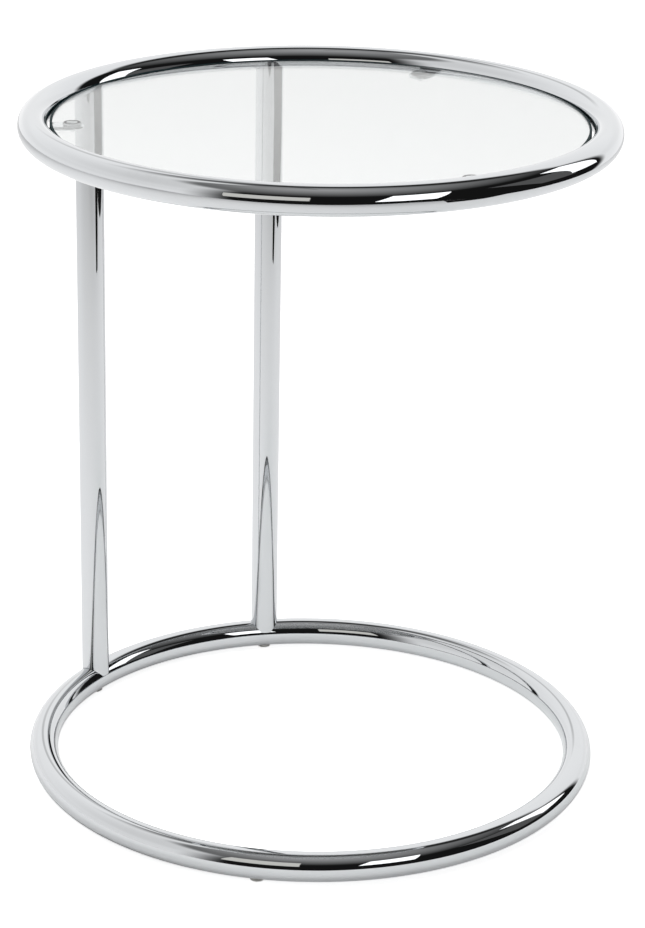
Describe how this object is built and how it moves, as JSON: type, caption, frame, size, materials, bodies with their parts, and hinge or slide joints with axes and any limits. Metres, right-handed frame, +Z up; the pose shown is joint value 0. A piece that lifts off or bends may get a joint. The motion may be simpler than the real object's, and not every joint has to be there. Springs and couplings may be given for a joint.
{
  "type": "side table",
  "caption": "Round side table: a chrome tube ring on the floor and another holding a loose clear glass top, joined by upright tubes at one side so the front stays open.",
  "frame": {"origin": "on the floor, at the common axis of both rings", "axes": "+Z up along the ring axis, +Y towards the posts, which stand at the rear, +X to the right seen from the open front"},
  "size_m": [0.4999, 0.5, 0.59],
  "materials": {
    "chrome": "mirror polished chrome plate",
    "glass": "clear, bevelled polished edge",
    "pads": "clear soft plastic",
    "glides": "natural light nylon",
    "fittings": "zinc plated"
  },
  "bodies": {
    "frame": {"top_ring": "chrome", "base_ring": "chrome", "left_post": "chrome", "right_post": "chrome", "glass_lug_left": "chrome", "glass_lug_right": "chrome", "glass_lug_front": "chrome", "left_tie_rod": "fittings", "left_threaded_boss": "fittings", "left_saddle_washer": "fittings", "left_clamp_nut": "fittings", "right_tie_rod": "fittings", "right_threaded_boss": "fittings", "right_saddle_washer": "fittings", "right_clamp_nut": "fittings", "glass_pad_left": "pads", "glass_pad_right": "pads", "glass_pad_front": "pads", "floor_glide_rear_left": "glides", "floor_glide_rear_right": "glides", "floor_glide_front_left": "glides", "floor_glide_front_right": "glides"},
    "glass": {"glass_top": "glass"}
  },
  "joints": [
    {"name": "glass_lift", "type": "slide", "parent": "frame", "child": "glass", "axis": [0, 0, 1], "range_m": [0, 0.06]}
  ]
}
